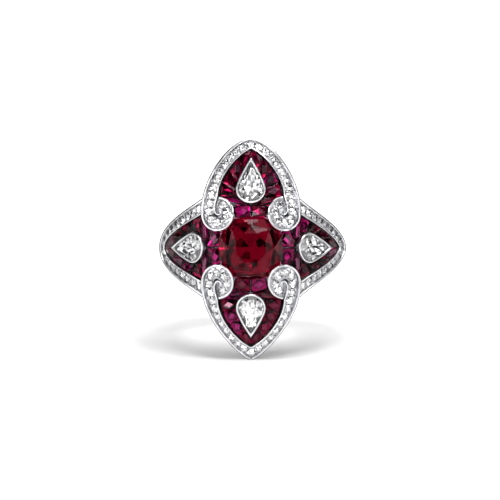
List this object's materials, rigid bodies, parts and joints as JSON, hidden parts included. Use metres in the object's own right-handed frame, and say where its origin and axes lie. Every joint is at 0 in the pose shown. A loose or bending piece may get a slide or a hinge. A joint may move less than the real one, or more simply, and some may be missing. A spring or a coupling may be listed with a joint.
{
  "type": "cocktail ring",
  "caption": "Cocktail ring: a cushion ruby in a four-lobed head of calibre rubies, pear diamonds and scrolled bead-set diamond borders, on a plain shank.",
  "frame": {"origin": "centre of the finger hole, on its axis, midway between the shank's two side faces", "axes": "+Z along the finger hole, towards the upper (north) lobe's tip; -Y out of the head, towards the viewer; +X towards the east lobe"},
  "size_m": [0.022, 0.0234, 0.0256],
  "materials": {
    "platinum": "polished platinum",
    "diamond": "faceted and polished",
    "ruby": "faceted and polished"
  },
  "bodies": {
    "root": {"shank": "platinum", "gallery_rail": "platinum", "gallery_strut_north_a": "platinum", "gallery_strut_north_b": "platinum", "gallery_strut_east_a": "platinum", "gallery_strut_east_b": "platinum", "gallery_strut_south_a": "platinum", "gallery_strut_south_b": "platinum", "gallery_strut_west_a": "platinum", "gallery_strut_west_b": "platinum", "centre_collet": "platinum", "centre_ruby": "ruby", "north_tray": "platinum", "north_outer_wall": "platinum", "north_inner_wire": "platinum", "north_pave_band": "diamond", "north_pear_collet": "platinum", "north_pear_diamond": "diamond", "north_ruby_row_right": "ruby", "north_root_rubies_right": "ruby", "north_ruby_row_left": "ruby", "north_root_rubies_left": "ruby", "east_tray": "platinum", "east_outer_wall": "platinum", "east_inner_wire": "platinum", "east_pave_band": "diamond", "east_pear_collet": "platinum", "east_pear_diamond": "diamond", "east_ruby_row_right": "ruby", "east_root_rubies_right": "ruby", "east_ruby_row_left": "ruby", "east_root_rubies_left": "ruby", "south_tray": "platinum", "south_outer_wall": "platinum", "south_inner_wire": "platinum", "south_pave_band": "diamond", "south_pear_collet": "platinum", "south_pear_diamond": "diamond", "south_ruby_row_right": "ruby", "south_root_rubies_right": "ruby", "south_ruby_row_left": "ruby", "south_root_rubies_left": "ruby", "west_tray": "platinum", "west_outer_wall": "platinum", "west_inner_wire": "platinum", "west_pave_band": "diamond", "west_pear_collet": "platinum", "west_pear_diamond": "diamond", "west_ruby_row_right": "ruby", "west_root_rubies_right": "ruby", "west_ruby_row_left": "ruby", "west_root_rubies_left": "ruby"}
  },
  "joints": []
}
